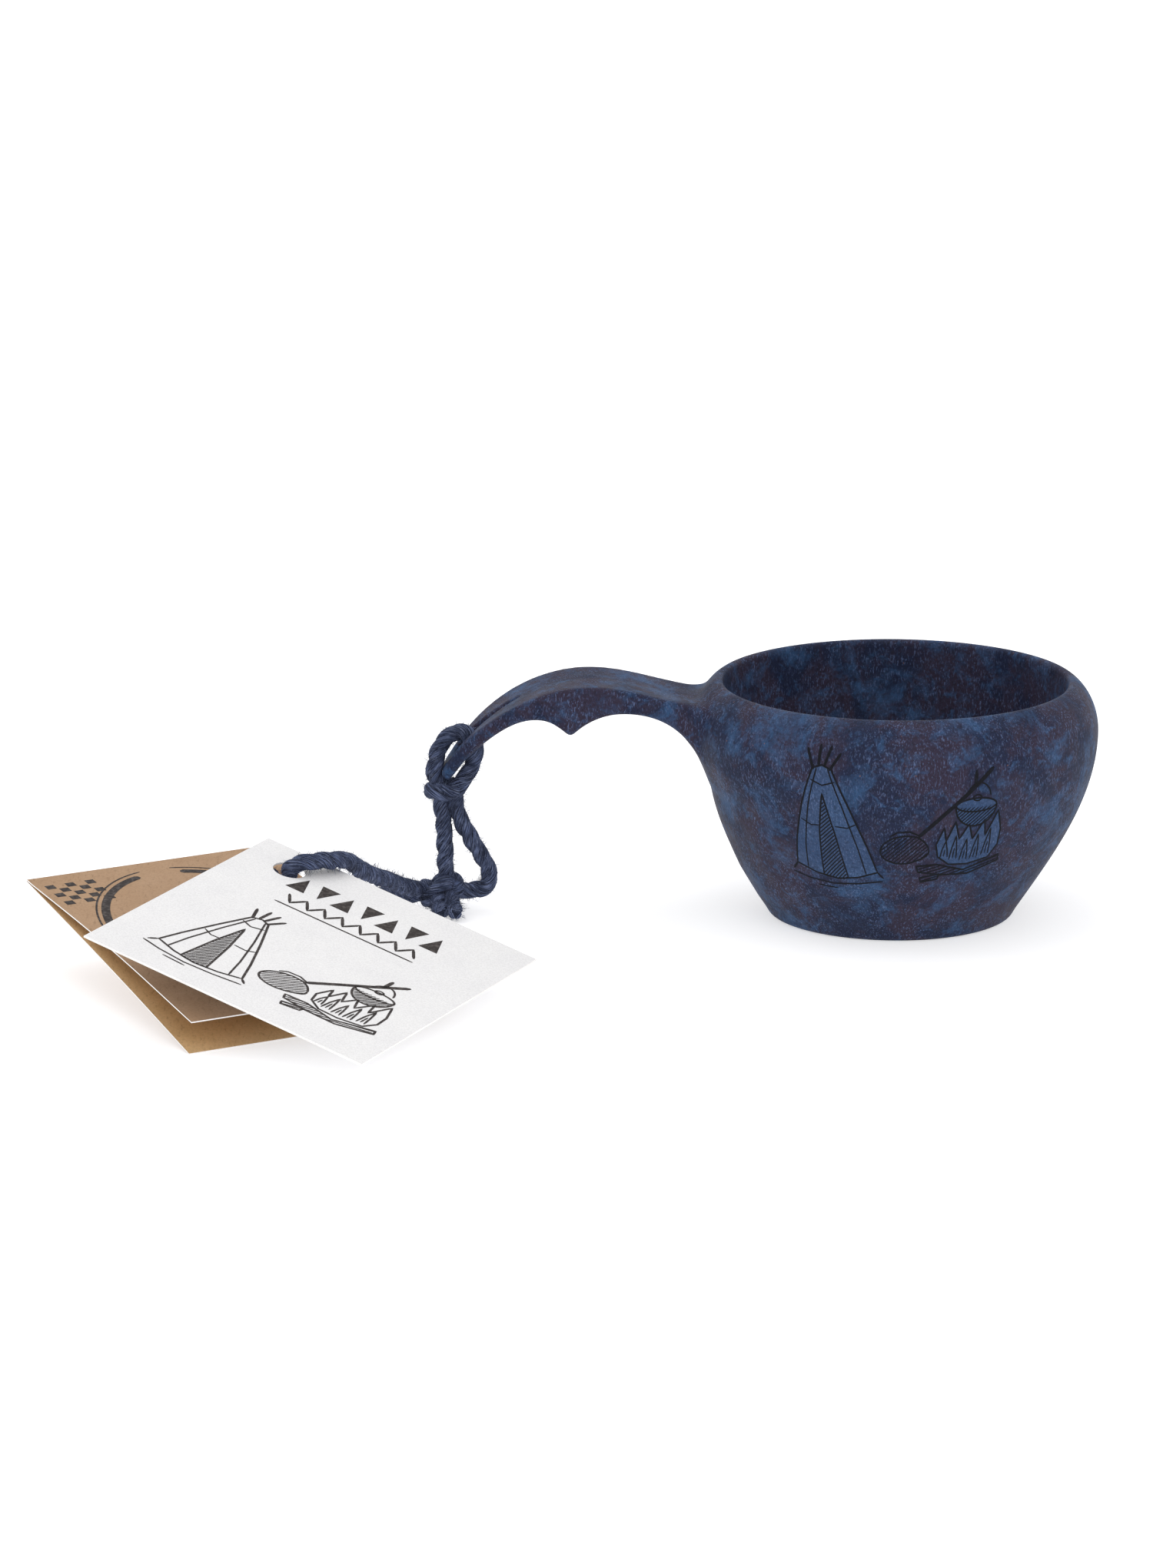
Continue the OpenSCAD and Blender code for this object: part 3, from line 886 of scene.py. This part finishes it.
def laid_lines(lines, place, step):
    """Each line as a flat band; place(u, v) gives a point on the surface and the way out of it."""
    verts, faces = [], []
    for line, width in lines:
        pts = dense(line, step)
        n = len(pts)
        closed = math.dist(pts[0], pts[-1]) < 1e-6
        first = len(verts)
        for i, p in enumerate(pts):
            a = pts[i - 1] if i else (pts[-2] if closed else p)
            b = pts[i + 1] if i < n - 1 else (pts[1] if closed else p)
            d = Vector((b[0] - a[0], b[1] - a[1]))
            if d.length < 1e-9:
                d = Vector((1, 0))
            d.normalize()
            w = width / 2 * (1 if closed else 0.45 + 0.55 * smoothstep(0, 0.8, min(i, n - 1 - i) * step))
            for s in (-1, 1):
                verts.append(place(p[0] - s * d.y * w, p[1] + s * d.x * w))
        faces += [(k, k + 1, k + 3, k + 2) for k in range(first, first + 2 * (n - 1), 2)]
    return verts, faces


def laid_fill(outline, place, step):
    """A closed outline filled with small faces that follow the surface."""
    rim = dense(outline + outline[:1], step)[:-1]
    xs, zs = [p[0] for p in rim], [p[1] for p in rim]
    pts = list(rim)
    x = min(xs) + step / 2
    while x < max(xs):
        z = min(zs) + step / 2
        while z < max(zs):
            if inside((x, z), rim) and min((x - a) ** 2 + (z - b) ** 2 for a, b in rim) > (step * 0.45) ** 2:
                pts.append((x, z))
            z += step
        x += step
    n = len(rim)
    rim_edges = [(i, (i + 1) % n) for i in range(n)]
    out, _, tris, *_ = geometry.delaunay_2d_cdt([Vector(p) for p in pts], rim_edges, [list(range(n))],
                                                1, 1e-5)
    return [place(p[0], p[1]) for p in out], [tuple(t) for t in tris]


FILL_LIFT, LINE_LIFT = 0.025, 0.05      # millimetres off the surface


def drawing(name, fills, lines, place_at, materials, body, step):
    """Fills and lines as one piece; fills lie just under the lines."""
    verts, faces, indices = [], [], []
    for outline in fills:
        v, f = laid_fill(outline, place_at(FILL_LIFT), step * 1.4)
        faces += [tuple(i + len(verts) for i in face) for face in f]
        verts += v
        indices += [1] * len(f)
    v, f = laid_lines(lines, place_at(LINE_LIFT), step)
    faces += [tuple(i + len(verts) for i in face) for face in f]
    verts += v
    indices += [0] * len(f)
    ob = mesh_object(name, verts, faces, materials, indices=indices)
    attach(ob, body)
    return ob


cup_tree = BVHTree.FromPolygons([v.co for v in cup.data.vertices],
                                [tuple(p.vertices) for p in cup.data.polygons])
WRAP_R = 46.0           # the drawing is wrapped round the bowl at this radius
OUTSIDE = 70 * MM       # clear of the bowl, where the search for its wall starts


def on_bowl(lift):
    def place(u, z):
        a = u / WRAP_R
        out = Vector((math.sin(a), -math.cos(a), 0))
        start = out * OUTSIDE + Vector((0, 0, z * MM))
        hit, normal, *_ = cup_tree.ray_cast(start, -out)
        return hit + (normal if normal.dot(out) > 0 else -normal) * lift * MM
    return place


fills, lines = camp_scene()
drawing("bowl_engraving", fills, lines, on_bowl, [MAT_BURN, MAT_FILL], "cup", step=0.7)


# ---- card
def flat_place(origin, turn, thickness):
    """A drawing's own x and y on a flat panel, given in the panel's frame."""
    def at(lift):
        def place(x, y):
            return (origin + turn @ Vector((x, y, thickness + lift))) * MM
        return place
    return at


CARD_HOLE_Z = 23.2
CARD_LOW_Z = 3.4        # sets the lean: its lowest corner is about this high
CARD_HOLE = Vector((-139.8, -52, CARD_HOLE_Z))
CARD_W, CARD_H, CARD_T = 72, 80, 0.5
CARD_INSET = (12, 10.5)
CARD_PITCH = math.radians(2.6)
CARD_ROLL = math.asin((CARD_HOLE_Z - CARD_LOW_Z - (CARD_H - CARD_INSET[1]) * math.sin(CARD_PITCH))
                      / (CARD_W - CARD_INSET[0]))
card_turn = (Matrix.Rotation(math.radians(-27), 3, "Z") @ Matrix.Rotation(CARD_ROLL, 3, "Y")
             @ Matrix.Rotation(CARD_PITCH, 3, "X"))


def rounded_hole_sheet(w, h, t, inset, hole_r, bevel=0.06, around=40):
    """A flat card with a punched hole and softened edges, its hole at the origin, top face at t."""
    x0, x1, y0, y1 = -inset[0], w - inset[0], inset[1] - h, inset[1]
    corners = [(x1, y1), (x0, y1), (x0, y0), (x1, y0)]
    angles = sorted([TAU * k / around for k in range(around)]
                    + [math.atan2(c[1], c[0]) % TAU for c in corners])

    def rim(a, edge):
        d = Vector((math.cos(a), math.sin(a)))
        reach = min([(x1 - edge) / d.x if d.x > 1e-9 else 1e9, (x0 + edge) / d.x if d.x < -1e-9 else 1e9,
                     (y1 - edge) / d.y if d.y > 1e-9 else 1e9, (y0 + edge) / d.y if d.y < -1e-9 else 1e9])
        return d * reach

    def face_ring(share, z):
        """On a flat side, from the hole's edge (share 0) out to the card's (share 1)."""
        inner = hole_r + (bevel if share == 0 else 0)
        return [(Vector((math.cos(a), math.sin(a))) * inner).lerp(rim(a, bevel), share).to_3d()
                + Vector((0, 0, z)) for a in angles]

    def edge_ring(z):
        return [rim(a, 0).to_3d() + Vector((0, 0, z)) for a in angles]

    def hole_ring(z):
        return [(Vector((math.cos(a), math.sin(a))) * hole_r).to_3d() + Vector((0, 0, z)) for a in angles]

    shares = [0, 0.25, 0.5, 0.75, 1]
    rings = ([face_ring(share, t) for share in shares] + [edge_ring(t - bevel), edge_ring(bevel)]
             + [face_ring(share, 0) for share in reversed(shares)]
             + [hole_ring(bevel), hole_ring(t - bevel)])
    verts = [v for row in rings for v in row]
    faces, indices = [], []
    n, m = len(angles), len(rings)
    cut = (4, 5, 6, m - 3, m - 2, m - 1)        # the rings whose faces show the cut paper, near white as a painted edge highlight
    for i in range(m):
        for k in range(n):
            k2, i2 = (k + 1) % n, (i + 1) % m
            faces.append((i * n + k, i * n + k2, i2 * n + k2, i2 * n + k))
            indices.append(1 if i in cut else 0)
    return verts, faces, indices


HOLE_R = 3.8
verts, faces, indices = rounded_hole_sheet(CARD_W, CARD_H, CARD_T, CARD_INSET, HOLE_R)
verts = [(CARD_HOLE + card_turn @ v) * MM for v in verts]
card = fixed_normals(mesh_object("stiff_card", verts, faces, [MAT_CARD, MAT_CUT_EDGE_HIGHLIGHT], smooth=False,
                                 indices=indices))
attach(card, "stiff_card")
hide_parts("card")



def on_card(u, z):
    """The cup's drawing, moved and stretched to its place on the card."""
    return lerp(-3.0, 54.0, (u + 31) / 56.7), lerp(-60.5, -22.5, (z - 16.7) / 34.2)


# On the card the drawing is reduced to lines, under a band of triangles
card_lines = [([on_card(u, z) for u, z in line], width * 1.15 + 0.08) for line, width in lines]
card_blocks = []
for k in range(7):
    x = 3.4 + 5.9 * k
    card_blocks.append([(x, -7.6), (x + 4.9, -7.6), (x + 2.45, -0.4)] if k % 2 == 0 else
                       [(x + 0.1, -0.4), (x + 4.8, -0.4), (x + 2.45, -7.6)])
zigzag = [(6.4 + 2.35 * k, -14.6 if k % 2 else -10.6) for k in range(16)]
card_lines += [(zigzag, 0.75), ([(5.8, -16.4), (42.4, -16.4)], 0.5)]
drawing("card_print", card_blocks, card_lines, flat_place(CARD_HOLE, card_turn, CARD_T), [MAT_INK, MAT_INK],
        "stiff_card", step=1.0)


# ---- leaflet
LEAF_HOLE = Vector((-149.3, -34))
LEAF_L, LEAF_W, LEAF_T = 84, 60, 0.3
LEAF_INSET = (9, 13)
FOLD_Z = 20.2
BACK_TILT = math.asin((FOLD_Z - LEAF_T) / LEAF_L)
COVER_TILT = BACK_TILT - math.radians(5)
fold_turn = Matrix.Rotation(math.radians(30), 3, "Z")
fold_at = (Vector((LEAF_HOLE.x, LEAF_HOLE.y, FOLD_Z))
           + fold_turn @ Vector((0, LEAF_INSET[1] * math.cos(BACK_TILT), 0)))
LOCAL_X = (LEAF_INSET[0] - LEAF_W, LEAF_INSET[0])
PANEL_STEPS = 26        # from the fold to the far edge of a panel


def leaf_profile():
    """The folded sheet's middle line seen from its end: (distance from the fold, height), back first."""
    steps = [k / PANEL_STEPS for k in range(PANEL_STEPS + 1)]
    back = [(-LEAF_L * f * math.cos(BACK_TILT), -LEAF_L * f * math.sin(BACK_TILT) - 0.15
             + 0.5 * math.sin(math.pi * f)) for f in [1 - step for step in steps[:-1]]]
    cover = [(-LEAF_L * f * math.cos(COVER_TILT), -LEAF_L * f * math.sin(COVER_TILT) + 0.2
              + 0.9 * math.sin(math.pi * f) ** 1.2) for f in steps[1:]]
    fold = [(-0.35, -0.22), (-0.08, -0.14), (0, 0.02), (-0.08, 0.18), (-0.35, 0.24)]
    return back[:-1] + fold + cover


def leaf_mesh():
    line = leaf_profile()
    across = 24
    cols = [lerp(LOCAL_X[0], LOCAL_X[1], k / across) for k in range(across + 1)]
    verts, faces, indices = [], [], []
    n = len(line)
    for side in (1, -1):
        for i, (y, z) in enumerate(line):
            a, b = line[max(0, i - 1)], line[min(n - 1, i + 1)]
            d = Vector((b[0] - a[0], b[1] - a[1])).normalized()
            out = Vector((d.y, -d.x)) * LEAF_T / 2 * side        # the outside of the fold
            for x in cols:
                verts.append(Vector((x, y + out.x, z + out.y)))
    m = len(cols)
    for s in (0, 1):
        for i in range(n - 1):
            for k in range(m - 1):
                a = s * n * m + i * m + k
                faces.append((a, a + 1, a + m + 1, a + m))
                indices.append(s)
    half = n * m
    for i in range(n - 1):
        for k in (0, m - 1):
            a = i * m + k
            faces.append((a, a + m, a + m + half, a + half))
            indices.append(2)
    for i in (0, n - 1):
        for k in range(m - 1):
            a = i * m + k
            faces.append((a, a + 1, a + 1 + half, a + half))
            indices.append(2)
    return [(fold_at + fold_turn @ v) * MM for v in verts], faces, indices


def punch_mesh(sides=40):
    """A round bar through the leaflet's hole."""
    verts = []
    for z in (-8, 8):
        for k in range(sides):
            a = TAU * k / sides
            verts.append((fold_at + fold_turn @ Vector((HOLE_R * math.cos(a),
                                                        -LEAF_INSET[1] + HOLE_R * math.sin(a), z))) * MM)
    faces = [(k, (k + 1) % sides, sides + (k + 1) % sides, sides + k) for k in range(sides)]
    return verts, faces + [tuple(range(sides)), tuple(range(sides, 2 * sides))]


# The inside panel takes the kraft that is lightened as painted light against the shade in the fold.
verts, faces, indices = leaf_mesh()
# The leaflet's cut edges take the near-white painted edge highlight.
leaflet = fixed_normals(mesh_object("leaflet_sheet", verts, faces, [MAT_KRAFT, MAT_KRAFT_IN_LIT, MAT_CUT_EDGE_HIGHLIGHT],
                                    indices=indices))
punch = fixed_normals(mesh_object("punch", *punch_mesh(), [MAT_CUT_EDGE_HIGHLIGHT]))
applied(leaflet, ("BOOLEAN", dict(operation="DIFFERENCE", object=punch, solver="EXACT")))
remove(punch)
leaflet.data.polygons.foreach_set("use_smooth", [False] * len(leaflet.data.polygons))
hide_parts("leaflet_back", "leaflet_cover")
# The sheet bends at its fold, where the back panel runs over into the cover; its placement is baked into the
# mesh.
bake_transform(leaflet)


def on_cover(lift):
    """A drawing's own x and y on the cover's outside, which is slightly bowed."""
    line = leaf_profile()[-PANEL_STEPS - 1:]

    def place(x, y):
        for (y0, z0), (y1, z1) in zip(line, line[1:]):
            if y1 <= y <= y0:
                z = lerp(z0, z1, (y - y0) / (y1 - y0))
                return (fold_at + fold_turn @ Vector((x, y, z + LEAF_T / 2 + lift))) * MM
        return (fold_at + fold_turn @ Vector((x, y, line[-1][1] + LEAF_T / 2 + lift))) * MM
    return place


RING_AT = (-21, -41)
leaf_lines = []
for a0, a1 in ((12, 78), (102, 168), (192, 258), (282, 348)):
    leaf_lines += [(arc(*RING_AT, 25.0, 34.0, a0, a1, 40), 2.0),
                   (arc(*RING_AT, 27.0, 36.4, a0 - 4, a1 + 4, 40), 0.45)]
for k in range(-3, 4):      # a row of small spruces across the middle of the ring
    x = RING_AT[0] + 6.2 * k
    leaf_lines += [([(x, -52), (x, -32)], 0.7)]
    for step_down in range(4):
        y = -33 - 4.2 * step_down
        w = 0.9 + 0.5 * step_down
        leaf_lines += [([(x - w, y - 1.6), (x, y), (x + w, y - 1.6)], 0.9)]
leaf_blocks = []
for i in range(5):          # a woven check near the rear corner
    for j in range(5):
        if (i + j) % 2 == 0:
            x, y = -49.0 + 2.5 * i, -5.2 - 2.5 * j
            leaf_blocks.append([(x, y), (x + 2.2, y), (x + 2.2, y - 2.2), (x, y - 2.2)])
drawing("leaflet_print", leaf_blocks, leaf_lines, on_cover, [MAT_INK, MAT_INK],
        "leaflet_front", step=1.2)


# ---- floor and light
floor_mat = Nodes("floor_white")
floor_mat.colour(floor_mat.ramp(floor_mat.noise(floor_mat.coords(), 3, 2),
                                (0.3, rgb(206, 206, 208)), (0.7, rgb(208, 208, 210))))
floor_mat.set(Roughness=0.9, Specular_IOR_Level=0.1, Emission_Color=(1, 1, 1, 1), Emission_Strength=0.54)
floor = mesh_object("floor", [(-6, -4, 0), (6, -4, 0), (6, 9, 0), (-6, 9, 0)], [(0, 1, 2, 3)],
                    [floor_mat.mat])

world = bpy.data.worlds.new("studio")
bpy.context.scene.world = world
world.use_nodes = True
world.node_tree.nodes["Background"].inputs["Color"].default_value = (1, 1, 1, 1)
world.node_tree.nodes["Background"].inputs["Strength"].default_value = 1.0


def area(name, at, aim, size, power):
    light = bpy.data.lights.new(name, "AREA")
    light.shape = "RECTANGLE"
    light.size, light.size_y = size
    light.energy = power
    ob = bpy.data.objects.new(name, light)
    ob.location = at
    ob.rotation_euler = (Vector(aim) - Vector(at)).to_track_quat("-Z", "Y").to_euler()
    bpy.context.scene.collection.objects.link(ob)


area("softbox_above", (-0.5, 0.2, 1.6), (-0.06, 0, 0), (1.4, 1.2), 6)
area("softbox_front", (0.6, -1.6, 1.2), (-0.06, 0, 0.02), (1.0, 0.8), 4)
bpy.context.scene.view_settings.view_transform = "Standard"
